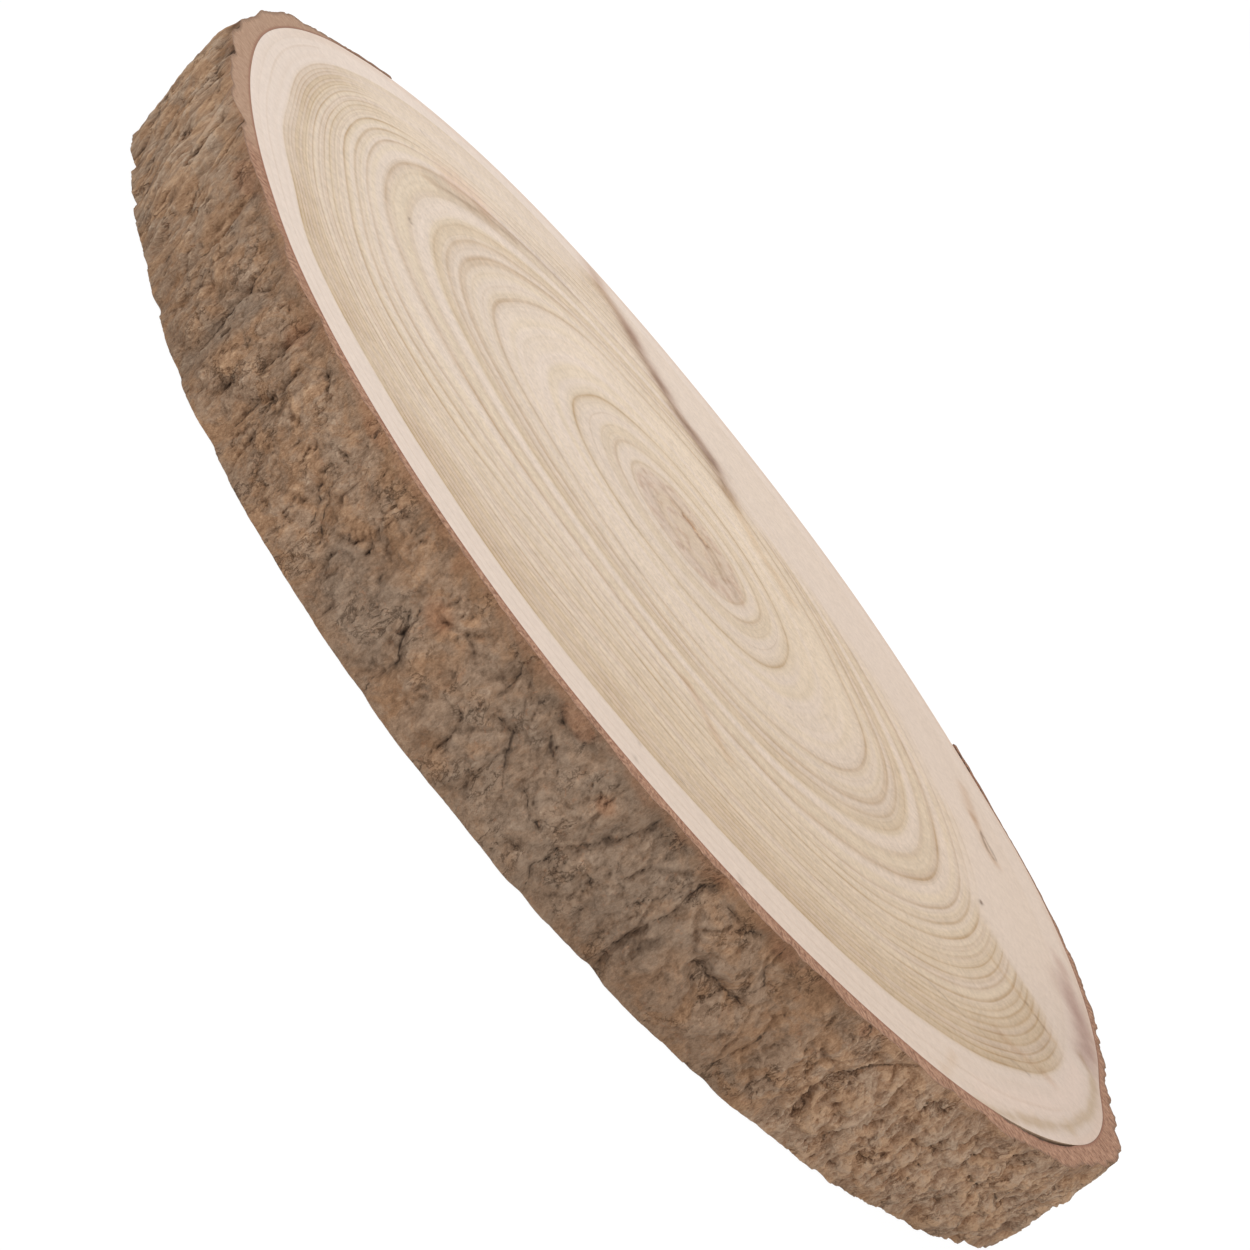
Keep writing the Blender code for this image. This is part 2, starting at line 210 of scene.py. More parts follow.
# Small dark checks and specks: strength, half width, and their way as above
MARKS = (
    (0.45, 0.5, ((-105, 40.2), (-102, 40.4))),
    (0.4, 0.45, ((-93, 62.5), (-90, 62.5))),
    (0.3, 0.45, ((-74, 57.8), (-71, 57.8))),
    (0.3, 0.4, ((-62, 26), (-60, 26))),
    (0.35, 0.45, ((-33, 48.5), (-31, 48.5))),
    (0.35, 0.45, ((-29, 50), (-28, 50.4))),
    (0.3, 0.45, ((-24, 53.7), (-23, 53.7))),
    (0.6, 0.5, ((-160, 93.4), (-158.8, 93))),
    (0.4, 0.45, ((-91.6, 92), (-90.4, 92))),
    (0.55, 0.55, ((-76.4, 154), (-75.6, 154))),
    (0.35, 0.5, ((-69, 139), (-68, 139))),
    (0.4, 0.45, ((-50, 136), (-48.6, 136.3))),
    (0.35, 0.45, ((-46.6, 136), (-45.6, 136))),
    (0.45, 0.5, ((-56.4, 126.4), (-55.6, 126.6))),
    (0.42, 0.45, ((-39, 128), (-35.6, 131), (-32.9, 133))),
    (0.3, 0.4, ((-31.8, 134.4), (-28, 138))),
    (0.42, 0.45, ((-26.6, 139.4), (-23.6, 141.7))),
    (0.4, 0.45, ((-80.6, 160.5), (-80.2, 166), (-80.6, 172.5))),
    (0.35, 0.4, ((-70.2, 169), (-70, 172.5))),
    (0.85, 0.55, ((5.7, 100), (6.5, 100.2))),
    (0.55, 0.5, ((-7.6, 120.8), (-7.4, 121.8))),
    (0.5, 0.6, ((-7.4, 125), (-7.2, 128.6))),
    (0.4, 0.4, ((161.6, 107.5), (161.9, 110.6))),
    (0.35, 0.4, ((169, 91.6), (164, 89.8), (160, 88.8))),
    (0.3, 0.4, ((156, 88.2), (152.6, 86.6))),
    (0.26, 0.7, ((117, 91), (115.4, 87.4))),
    (0.34, 0.6, ((112.6, 83), (110.4, 77.8), (107.4, 74.6))),
    (0.38, 0.7, ((106, 74.4), (103.4, 73.4))),
    (0.4, 0.7, ((98.6, 71), (96.8, 69))),
    (0.38, 0.6, ((95.4, 66), (93.6, 63.4))),
    (0.6, 0.5, ((27.8, 108.8), (29, 106.8), (31.4, 106.4), (33, 107))),
    (0.55, 0.45, ((28.6, 109.8), (30.4, 108.8), (31.8, 107.8))),
)

# The crack at the pith and the dark lines round it, about the log's axis
PITH_CRACK = ((-9.9, 39.3), (-7.4, 39.9), (-4.6, 39.2), (-1.7, 39.6))
PITH_LINES = (
    (0.22, 1, ((-17.5, 38.5), (-14.6, 40.2), (-10.8, 40.6), (-7.2, 40))),
    (0.24, 1.1, ((-4.8, 38.2), (-0.8, 37), (3.8, 34.6), (6.2, 31.6))),
    (0.18, 0.9, ((-1.6, 40.6), (4.4, 37.6), (9.6, 33.2), (10.4, 29.6))),
    (0.16, 0.8, ((-19.6, 27.5), (-12.4, 22.2), (-4.2, 19.4), (3.2, 20.6))),
)
PITH_PATCH = 19.5

# Fine cracks in the bark, dented and darkened with painted shade: half width, depth, and their way as
# (angle, height)
CRACKS = (
    (0.5, 0.7, ((-162.4, 32), (-161.2, 24), (-161.8, 16))),
    (0.6, 0.8, ((-156, 33), (-155.3, 28), (-153, 21))),
    (0.5, 0.6, ((-156.6, 15), (-156.2, 8), (-156.6, 0))),
    (0.6, 0.8, ((-150.3, 32), (-148.4, 22), (-146.4, 13))),
    (0.6, 0.8, ((-139.3, 26), (-138.4, 19), (-138.7, 11))),
    (0.4, 0.5, ((-143.6, 18), (-142.2, 12), (-142.8, 5))),
    (0.6, 0.7, ((-131.6, 30), (-130.4, 22), (-129.8, 12), (-129.2, 3))),
    (0.6, 0.8, ((-123, 31), (-123.2, 24), (-122.8, 16))),
    (0.6, 0.8, ((-120.9, 14), (-120.9, 4))),
    (0.8, 0.7, ((-112.2, 31.4), (-111.8, 30))),
    (0.6, 0.8, ((-111.7, 16), (-109.6, 9.5))),
    (0.4, 0.6, ((-110.8, 16), (-108.1, 9))),
    (0.7, 0.7, ((-105.6, 18), (-105.2, 16.6))),
    (0.7, 0.7, ((-103.1, 16.2), (-102.8, 15))),
    (0.5, 0.7, ((-99.8, 16), (-98.6, 12.4), (-97.4, 9), (-97.4, 0))),
    (0.5, 0.8, ((-91.3, 29), (-91.1, 21.5))),
    (0.6, 0.8, ((-90, 18), (-88.2, 18.7), (-86.7, 12.7))),
    (0.7, 0.7, ((-86.6, 24.4), (-85.4, 22))),
    (0.5, 0.6, ((-84.7, 13), (-81.4, 11.5))),
    (0.5, 0.9, ((-76.5, 30), (-76.6, 26), (-77.8, 21), (-78.6, 14), (-79.6, 11), (-79.6, 5),
        (-78.6, 1))),
    (0.5, 0.9, ((-69.5, 30.7), (-70.3, 27), (-70.1, 19), (-70.5, 14), (-70.7, 8), (-70.3, 1))),
    (0.4, 0.5, ((-71, 25), (-72, 19), (-72.8, 14))),
    (0.5, 0.6, ((-68, 29), (-66, 28.4), (-64.5, 29.4))),
    (0.6, 0.8, ((-66, 16), (-63.2, 16.6), (-60.3, 16.4))),
    (0.6, 0.8, ((-61.8, 30.7), (-61.8, 26), (-60.4, 22))),
    (0.5, 0.7, ((-57.4, 22), (-56.6, 14), (-57, 3))),
    (0.9, 1, ((-51.8, 31.6), (-51, 30.4))),
    (1.1, 1.6, ((-45.4, 28.4), (-47.2, 22.7), (-48.6, 16.7), (-48.2, 13))),
    (0.5, 0.7, ((-42.8, 17), (-42.6, 6))),
    (0.6, 0.7, ((-40.2, 28), (-39.8, 22), (-39.8, 12))),
    (0.6, 0.8, ((-37.4, 18.6), (-35.6, 17.6), (-33.4, 19.4), (-32.8, 26))),
    (0.6, 0.8, ((-28.8, 25), (-29.4, 18), (-31.2, 15))),
    (1.5, 1.5, ((-26.3, 25.2), (-24.9, 25.4))),
    (0.8, 0.8, ((-24.4, 16.8), (-23, 15.8))),
    (1, 0.9, ((-28.2, 10.4), (-27.8, 7.6))),
    (0.8, 0.8, ((-19.2, 15.6), (-18.2, 15))),
    (0.5, 0.7, ((-21, 30), (-21.8, 24), (-20.6, 20))),
    (0.5, 0.6, ((-15.6, 24), (-14.4, 18), (-15.2, 10))),
)

# Raised flakes on the bark: angle, height, half size along and up the rim, and lift
FLAKES = (
    (-45.2, 12.5, 5.6, 9, 0.9), (-35, 25, 4.6, 6.2, 0.9), (-87, 24, 3.6, 3.2, 0.7),
    (-73.4, 22, 5, 8, 0.45), (-64, 23, 6, 6.4, 0.5), (-66, 8, 7, 6, 0.35),
    (-83, 20, 6, 9, 0.4), (-117, 22, 8, 7, 0.45), (-135, 20, 6, 9, 0.5),
    (-144, 22, 6, 8, 0.4), (-126.4, 12, 5, 9, 0.4), (-104, 26, 6.4, 5, 0.45),
    (-93.6, 9, 6, 6.4, 0.45), (-53.6, 20, 5, 7, 0.35), (-25.4, 21, 5, 3, 0.5),
    (-22, 8, 5.4, 5.6, 0.45),
)

# Patches of colour on the bark: angle, height, half size along and up the rim
RUST_PATCHES = (
    (-141.5, 29.5, 6, 3.4), (-51.4, 31, 3.6, 2.6), (-25.6, 25.3, 3.4, 2.6), (-86, 30, 5, 2.4),
    (-62, 30.6, 4.6, 2.4), (-112, 30.8, 4.4, 2.2), (-70, 31, 3.6, 1.8), (-29, 26, 4, 2.4),
    (-98, 21, 4, 3), (-80, 24, 2.6, 2.2), (-123, 26, 3, 4), (-153, 24, 3, 4),
)
GREY_PATCHES = (
    (-80, 16, 40, 24), (-128.6, 14, 6, 14), (-102, 10, 16, 11),
)

# Colours of the wood, and tints over them
HEARTWOOD = (0.752, 0.622, 0.5)
HEARTWOOD_EDGE = (0.712, 0.582, 0.455)
WARM_BAND = (0.985, 0.965, 0.9)
GREY_BAND = (1, 0.99, 1)
SAPWOOD = (0.785, 0.655, 0.562)
RING_TINT = (0.69, 0.575, 0.425)
PALE_RING_TINT = (1.14, 1.16, 1.22)
FLECK_TINT = (0.8, 0.7, 0.58)
MARK_COLOUR = (0.2, 0.125, 0.08)
WORN_RIM = (0.33, 0.215, 0.14)
RIM_TONES = ((0.28, (0.36, 0.235, 0.145)), (0.48, (0.5, 0.355, 0.235)), (0.72, (0.6, 0.45, 0.32)))

# Bark colours from its hollows, dark with painted shade, to its crests: plain, grey and rusty
BARK_TONES = (
    (0.02, (0.07, 0.038, 0.021)), (0.22, (0.15, 0.087, 0.05)), (0.42, (0.235, 0.143, 0.086)),
    (0.6, (0.32, 0.203, 0.126)), (0.8, (0.42, 0.28, 0.182)), (0.98, (0.54, 0.385, 0.265)),
)
GREY_TONES = (
    (0.02, (0.065, 0.045, 0.032)), (0.3, (0.16, 0.112, 0.079)), (0.55, (0.262, 0.19, 0.137)),
    (0.8, (0.35, 0.264, 0.196)), (0.98, (0.47, 0.37, 0.285)),
)
RUST_TONES = (
    (0.05, (0.095, 0.04, 0.02)), (0.4, (0.26, 0.122, 0.064)), (0.65, (0.385, 0.205, 0.115)),
    (0.95, (0.52, 0.315, 0.19)),
)

# A cool and a warm hue over the bark, the painted shade in its cracks, and the sawn bark from its dark
# to its pale grain
BARK_HUES = ((0.97, 1, 1.05), (1.06, 0.975, 0.89))
CRACK_SHADE_COLOUR = (0.035, 0.021, 0.014)
SAWN_TONES = ((0.4, (0.22, 0.1, 0.053)), (0.5, (0.37, 0.19, 0.112)), (0.61, (0.5, 0.285, 0.184)))
SAWN_PALE_TONES = (
    (0.34, (0.33, 0.184, 0.112)), (0.5, (0.43, 0.266, 0.174)), (0.66, (0.51, 0.334, 0.228)),
)
SKIN_COLOUR = (0.19, 0.105, 0.06)
RED_LINE = (0.28, 0.12, 0.07)
GAP_SHADE_COLOUR = (0.055, 0.03, 0.02)

# Surroundings and floor: the floor's half width, how far it lies below, its colour, the light
# it gives by itself, and the share of its look that lamps and shadows decide
WHITE = (1, 1, 1, 1)
AMBIENT = 0.55
FLOOR_HALF = 9
FLOOR_DROP = 0.2 * MM
FLOOR_COLOUR = (0.55, 0.55, 0.55, 1)
FLOOR_GLOW = 1.12
FLOOR_SHADE = 0.14

# Lamps: name, place, target, size, watts, colour
LIGHTS = (
    ("key", (-1.5, -0.9, 0.7), (0, 0, 0.02), (0.9, 0.9), 16, (1, 0.99, 0.97)),
    ("overhead", (-0.1, 0.2, 1.7), (0, 0, 0), (1.4, 1.4), 7, (1, 1, 1)),
    ("front", (1.1, -1.6, 0.6), (0, 0, 0.02), (1.2, 0.9), 18, (1, 0.99, 0.97)),
)


def smooth_round(points, angles):
    """The smooth closed curve through (angle, value) points, read at the given angles."""
    known = np.array(sorted((angle % 360, value) for angle, value in points))
    at = np.concatenate((known[-2:, 0] - 360, known[:, 0], known[:2, 0] + 360))
    value = np.concatenate((known[-2:, 1], known[:, 1], known[:2, 1]))
    slope = np.gradient(value, at)
    place = np.mod(angles, 360)
    left = np.searchsorted(at, place, side="right") - 1
    span = at[left + 1] - at[left]
    t = (place - at[left]) / span
    return (
        value[left] * (1 + 2 * t) * (1 - t) ** 2
        + slope[left] * span * t * (1 - t) ** 2
        + value[left + 1] * t * t * (3 - 2 * t)
        - slope[left + 1] * span * t * t * (1 - t)
    )


def rise(low, high, value):
    """A smooth rise from 0 to 1 as the value goes from low to high."""
    share = np.clip((value - low) / (high - low), 0, 1)
    return share * share * (3 - 2 * share)


def drop(low, high, value):
    """A smooth fall from 1 to 0 as the value goes from low to high."""
    return 1 - rise(low, high, value)


def peak(away):
    """1 where the distance is none, and next to nothing from about 2 on."""
    return np.exp(-(away ** 2))


def soften(values, times, axis):
    """Values averaged with their neighbours along one axis, again and again."""
    for _ in range(times):
        margins = [(int(k == axis),) * 2 for k in range(values.ndim)]
        padded = np.pad(values, margins, mode="edge")
        before = np.take(padded, range(0, values.shape[axis]), axis)
        after = np.take(padded, range(2, values.shape[axis] + 2), axis)
        values = values / 2 + (before + after) / 4
    return values


def sample(function, x, y, layer):
    """A noise function read at each point of two grids of millimetres."""
    points = np.stack((x.ravel(), y.ravel(), np.full(x.size, layer)), axis=-1)
    return np.array([function(Vector(p)) for p in points.tolist()]).reshape(x.shape)


def fractal(x, y, scale, octaves, layer):
    return sample(lambda p: noise.fractal(p, 1, 2, octaves), x / scale, y / scale, layer)


def distance_to_path(x, y, path):
    """The distance from each point to a line through the path's corners."""
    nearest = np.full(x.shape, np.inf)
    corners = [np.array(corner, float) for corner in path]
    for start, end in zip(corners, corners[1:]):
        run = end - start
        share = np.clip(((x - start[0]) * run[0] + (y - start[1]) * run[1]) / run.dot(run), 0, 1)
        away = np.hypot(x - start[0] - share * run[0], y - start[1] - share * run[1])
        nearest = np.minimum(nearest, away)
    return nearest


def surface(node):
    """The CAD node as a tree that rays can be cast at."""
    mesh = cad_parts[node].data
    return BVHTree.FromPolygons([v.co for v in mesh.vertices], [p.vertices[:] for p in mesh.polygons])


def reach(tree, angle, height, inwards=True):
    """How far from the log's axis a level ray meets the surface, or not a number."""
    turn = math.radians(angle)
    way = Vector((math.cos(turn), math.sin(turn), 0))
    axis = Vector((*LOG_AXIS, min(max(height, EDGE), THICKNESS - EDGE)))
    hit = tree.ray_cast(axis + way * OUTSIDE, -way)[0] if inwards else tree.ray_cast(axis, way)[0]
    return math.nan if hit is None else (hit - axis).length


def add_object(name, data):
    made = bpy.data.objects.new(name, data)
    bpy.context.scene.collection.objects.link(made)
    return made


class Value:
    """A number or a vector on its way through a material. Sums with it make math nodes."""

    def __init__(self, shade, socket):
        self.shade = shade
        self.socket = socket

    def __add__(self, other):
        return self.shade.math("ADD", self, other)

    def __sub__(self, other):
        return self.shade.math("SUBTRACT", self, other)

    def __rsub__(self, other):
        return self.shade.math("SUBTRACT", other, self)

    def __mul__(self, other):
        return self.shade.math("MULTIPLY", self, other)


class Shade:
    """A material, with a short call for each kind of node."""

    def __init__(self, name):
        self.material = bpy.data.materials.new(name)
        self.material.use_nodes = True
        self.tree = self.material.node_tree
        self.shader = self.tree.nodes["Principled BSDF"]

    def feed(self, socket, value):
        if isinstance(value, Value):
            self.tree.links.new(value.socket, socket)
        else:
            socket.default_value = value

    def node(self, kind, inputs, output=0, **settings):
        made = self.tree.nodes.new("ShaderNode" + kind)
        for key, value in settings.items():
            setattr(made, key, value)
        for key, value in inputs.items():
            self.feed(made.inputs[key], value)
        return Value(self, made.outputs[output])

    def math(self, operation, first, second=0):
        return self.node("Math", {0: first, 1: second}, operation=operation)

    def vector(self, operation, first, second=(0, 0, 0), output=0):
        return self.node("VectorMath", {0: first, 1: second}, output, operation=operation)

    def ramp(self, value, low, high, out_low=0, out_high=1):
        inputs = {0: value, 1: low, 2: high, 3: out_low, 4: out_high}
        return self.node("MapRange", inputs, interpolation_type="SMOOTHSTEP")

    def mix(self, factor, first, second, blend="MIX"):
        """Two colours mixed, each of them a value or plain numbers."""
        colours = [c if isinstance(c, Value) else (*c, 1) for c in (first, second)]
        inputs = {0: factor, 6: colours[0], 7: colours[1]}
        return self.node("Mix", inputs, 2, data_type="RGBA", blend_type=blend)

    def tinted(self, colour, tint):
        return self.mix(1, colour, tint, "MULTIPLY")

    def noise(self, at, scale, detail=3, roughness=0.5, distortion=0):
        inputs = {"Vector": at, "Scale": scale, "Detail": detail, "Roughness": roughness,
                  "Distortion": distortion}
        return self.node("TexNoise", inputs)

    def line_noise(self, place, scale, detail, roughness):
        inputs = {"W": place, "Scale": scale, "Detail": detail, "Roughness": roughness}
        return self.node("TexNoise", inputs, noise_dimensions="1D")

    def read(self, name, output="Fac"):
        return self.node("Attribute", {}, output, attribute_name=name)

    def place(self):
        return self.node("TexCoord", {}, "Object")

    def stretched(self, at, upright):
        """A place whose height counts for less, so that noise there is drawn out upwards."""
        return self.vector("MULTIPLY", at, (1, 1, upright))

    def colours(self, value, stops):
        """A colour ramp through (position, colour) stops."""
        made = self.tree.nodes.new("ShaderNodeValToRGB")
        ramp = made.color_ramp
        while len(ramp.elements) < len(stops):
            ramp.elements.new(0.5)
        for element, (position, colour) in zip(ramp.elements, stops):
            element.position = position
            element.color = (*colour, 1)
        self.feed(made.inputs[0], value)
        return Value(self, made.outputs[0])

    def set(self, **inputs):
        for key, value in inputs.items():
            self.feed(self.shader.inputs[key.replace("_", " ")], value)

    def relief(self, height, distance):
        """Bump of a given depth in metres, from a height between 0 and 1."""
        inputs = {"Strength": 1, "Distance": distance, "Height": height}
        self.set(Normal=self.node("Bump", inputs))


def ring_strength(names):
    """How dark the wood is at each ring name. A dark line is sharp outside and fades inwards."""
    total = np.zeros(names.shape)
    for name, strength, width in DARK_RINGS:
        away = names - name
        fade = np.exp(-np.abs(away) / np.where(away < 0, 2.0 * width, 0.4))
        total += strength * (0.5 * peak(away / 0.45) + 0.55 * fade)
    for name, strength, width in PALE_RINGS:
        total -= strength * peak((names - name) / width)
    return total


def ring_curve(shade, ring, start):
    """The ring strength over one span of ring names, and nothing outside it."""
    made = shade.tree.nodes.new("ShaderNodeFloatCurve")
    curve = made.mapping.curves[0]
    places = np.linspace(0, 1, RING_CURVE_STEPS + 1)
    heights = PLAIN_WOOD + (1 - PLAIN_WOOD) * ring_strength(start + places * RING_CURVE_SPAN)
    curve.points[0].location = (0, heights[0])
    curve.points[1].location = (1, heights[-1])
    for place, height in zip(places[1:-1], heights[1:-1]):
        curve.points.new(place, height)
    made.mapping.update()
    share = shade.math("DIVIDE", ring - start, RING_CURVE_SPAN)
    shade.feed(made.inputs["Value"], share)
    strength = shade.math("DIVIDE", Value(shade, made.outputs[0]) - PLAIN_WOOD, 1 - PLAIN_WOOD)
    inside = shade.math("COMPARE", share, 0.5)
    inside.socket.node.inputs[2].default_value = 0.5
    return strength * inside


def polar_noise(shade, at, centre, scale, stretch, detail, roughness):
    """Noise about a centre, drawn out along the radius."""
    flat = shade.stretched(shade.vector("SUBTRACT", at, (*centre, 0)), 0)
    depth = shade.node("CombineXYZ", {2: shade.vector("LENGTH", flat, output="Value") * stretch})
    way = shade.vector("NORMALIZE", flat)
    return shade.noise(shade.vector("ADD", way, depth), scale, detail, roughness)


def wood_face_material():
    """Sawn end grain: rings read from the mesh, sapwood, pores, rays and the listed stains."""
    shade = Shade("wood_end_grain")
    at = shade.place()
    ring = shade.read("ring")
    clear = shade.read("clear")

    lines = ring_curve(shade, ring, 0)
    for start in (RING_CURVE_SPAN, 2 * RING_CURVE_SPAN):
        lines = lines + ring_curve(shade, ring, start)
    lines = lines * shade.ramp(shade.noise(at, 42, 3), 0.3, 0.7, 0.62, 1.2)

    # Faint lines and broad warm or grey bands between the listed rings, which only the
    # ring's name decides
    faint = (shade.line_noise(ring, 0.75, 3, 0.7) - 0.48) * 0.9
    sap = shade.ramp(ring, SAPWOOD_FROM - 0.5, SAPWOOD_FROM + 1.3)
    sap = shade.math("MAXIMUM", sap, shade.read("pale"))
    lines = (lines + faint) * (clear * (1.0 - sap * 0.55))
    band = shade.line_noise(ring, 0.17, 1, 0.5)
    band = shade.ramp(band + shade.noise(at, 14, 2) * 0.5, 0.60, 0.90)

    edge = shade.ramp(ring, SAPWOOD_FROM - 26, SAPWOOD_FROM - 1)
    heart = shade.mix(edge, HEARTWOOD, HEARTWOOD_EDGE)
    heart = shade.mix(band, shade.tinted(heart, GREY_BAND), shade.tinted(heart, WARM_BAND))
    colour = shade.tinted(shade.mix(sap, heart, SAPWOOD), shade.read("tint", "Color"))
    dark = shade.tinted(colour, RING_TINT)
    light = shade.tinted(colour, PALE_RING_TINT)
    colour = shade.mix(lines * -1, colour, light)
    colour = shade.mix(lines, colour, dark)

    # Pores, flecks and rays
    pores = shade.noise(at, 1300, 3, 0.7)
    mottle = shade.noise(at, 420, 3, 0.65)
    rays = polar_noise(shade, at, PITH, 85, 10, 3, 0.65)
    grain = pores * 0.36 + rays * 0.28 + mottle * 0.36
    value = shade.ramp(grain, 0.36, 0.64, 0.875, 1.09)
    value = value + (1.0 - value) * (sap * 0.5)
    colour = shade.tinted(colour, shade.node("CombineColor", {0: value, 1: value, 2: value}))
    flecks = shade.ramp(shade.noise(at, 560, 2, 0.75), 0.60, 0.74, 0, 0.45) * (1.0 - sap)
    colour = shade.mix(flecks, colour, shade.tinted(colour, FLECK_TINT))

    colour = shade.mix(shade.ramp(shade.read("mark"), 0, 1), colour, MARK_COLOUR)
    shade.set(Base_Color=colour, Roughness=shade.ramp(grain, 0.3, 0.7, 0.62, 0.52))
    shade.set(Specular_IOR_Level=0.32)
    shade.relief(pores * 0.55 + lines * -0.35, 0.09 * MM)
    return shade.material


def wood_rim_material():
    """The bare rim, where the bark has come away: fine upright fibres, tan and a little worn."""
    shade = Shade("wood_bare_rim")
    at = shade.place()
    fibres = shade.noise(shade.stretched(at, 0.09), 900, 4, 0.62)
    broad = shade.noise(shade.stretched(at, 0.25), 90, 3, 0.55)
    colour = shade.colours(fibres, RIM_TONES)
    colour = shade.mix(shade.ramp(broad, 0.42, 0.68) * 0.55, colour, WORN_RIM)
    shade.set(Base_Color=colour, Roughness=0.72)
    shade.relief(fibres + broad * 0.8, 0.35 * MM)
    return shade.material


def bark_material():
    """Scaly outer bark: brown and grey by patches, with painted shade in its hollows, along its creases
    and in its cracks.
    """
    shade = Shade("bark_outer")
    at = shade.place()
    upright = shade.stretched(at, 0.55)
    broad = shade.noise(at, 55, 3, 0.55)
    middle = shade.noise(upright, 300, 6, 0.74, 0.5)
    fine = shade.noise(upright, 1900, 3, 0.8)
    fibres = shade.noise(shade.stretched(at, 0.10), 850, 4, 0.7)
    fine = shade.node("Mix", {0: shade.read("drawn") * 0.5, 2: fine, 3: fibres})
    crease = shade.math("ABSOLUTE", shade.noise(upright, 190, 5, 0.7, 0.3) - 0.5)
    broken = shade.ramp(shade.noise(at, 110, 2), 0.44, 0.62)
    crease = shade.ramp(crease, 0, 0.03, 1, 0) * broken
    rough = shade.read("rough")
    detail = (middle - 0.5) * 0.95 + (fine - 0.5) * 1.5
    # The tone, less the painted shade of the hollows and along the creases
    tone = (broad - 0.5) * 0.4 + 0.62 + detail * rough - shade.read("painted_shade_and_tone") - crease * 0.30
    hue = shade.ramp(shade.noise(at, 150, 5, 0.65, 0.6), 0.42, 0.60)
    colour = shade.tinted(shade.colours(tone, BARK_TONES), shade.mix(hue, *BARK_HUES))

    grey = shade.read("grey") * shade.ramp(middle, 0.30, 0.55, 0.55, 1)
    colour = shade.mix(grey, colour, shade.colours(tone, GREY_TONES))
    speckle = shade.ramp(shade.noise(at, 520, 4, 0.75, 0.6), 0.56, 0.70)
    rust = shade.math("MINIMUM", shade.read("rust") + speckle * 0.45, 0.9)
    colour = shade.mix(rust, colour, shade.colours(tone, RUST_TONES))
    # Painted shade, near black, in the cracks, crannies, furrows and open borders of the plates
    crack = shade.ramp(shade.read("split"), 0.12, 0.62, 0.85, 0)
    colour = shade.mix(crack, colour, CRACK_SHADE_COLOUR)
    shade.set(Base_Color=colour, Roughness=0.88, Specular_IOR_Level=0.25)
    shade.relief((middle * 0.95 + fine * 0.55 - crease * 0.22) * rough, 1.25 * MM)
    return shade.material


def sawn_bark_material():
    """The bark where it is sawn: a red line at the wood, tan inner bark, dark outer skin, and painted
    shade of the open gap along the wood.
    """
    shade = Shade("bark_sawn")
    at = shade.place()
    fibres = polar_noise(shade, at, LOG_AXIS, 190, 3, 3, 0.6)
    grit = shade.noise(at, 1100, 3, 0.6)
    mixed = fibres * 0.6 + grit * 0.4
    drawn = shade.ramp(shade.read("drawn"), 0.6, 1)
    colour = shade.mix(drawn, shade.colours(mixed, SAWN_TONES), shade.colours(mixed, SAWN_PALE_TONES))
    skin = shade.ramp(shade.read("from_skin") + (grit - 0.5) * 1.4, 0, 1.1, 0.7, 0)
    colour = shade.mix(skin, colour, SKIN_COLOUR)
    from_wood = shade.read("from_wood")
    colour = shade.mix(shade.ramp(from_wood, 0.2, 0.9, 0.7, 0), colour, RED_LINE)
    # Painted shade of the open gap to the wood: broken dark bits on the sawn bark along its inner edge,
    # where the bark gapes
    gap_shade_bits = from_wood + shade.noise(at, 700, 4, 0.7) * -3.2
    gap_shade_bits = shade.ramp(gap_shade_bits, -1.75, -1.4, 0.8, 0) * shade.read("gape")
    colour = shade.mix(gap_shade_bits, colour, GAP_SHADE_COLOUR)
    shade.set(Base_Color=colour, Roughness=0.8)
    shade.relief(mixed, 0.55 * MM)
    return shade.material


def outline(height, angles):
    """The CAD wood's radius about the pith on one of its sawn faces."""
    points = np.array([v.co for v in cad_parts["wood"].data.vertices])
    level = points[np.abs(points[:, 2] - height) < EDGE, :2] - PITH
    turns = np.degrees(np.arctan2(level[:, 1], level[:, 0]))
    return np.interp(angles, turns, np.hypot(level[:, 0], level[:, 1]), period=360)


def ring_names(angles, radii, rims):
    """The ring that each point of the face lies on, from the traced rings."""
    traces = np.array([smooth_round(points, angles) for _, points in RING_TRACES])
    names = np.array([0, *(name for name, _ in RING_TRACES), OUTERMOST_RING])
    found = np.empty(radii.shape)
    for column in range(len(angles)):
        known = np.array([0, *traces[:, column], rims[column] / MM])
        found[:, column] = np.interp(radii[:, column] / MM, known, names)
    return soften(found, 2, 0)


def pith_polar(path):
    """A path of (angle, radius) about the pith, as points from the pith."""
    return [(r * math.cos(math.radians(a)), r * math.sin(math.radians(a))) for a, r in path]


def darkened(tint, amount, loss):
    """A tint that loses a share of each colour where the amount is high."""
    return tint * (1 - np.outer(amount, loss).reshape(tint.shape))


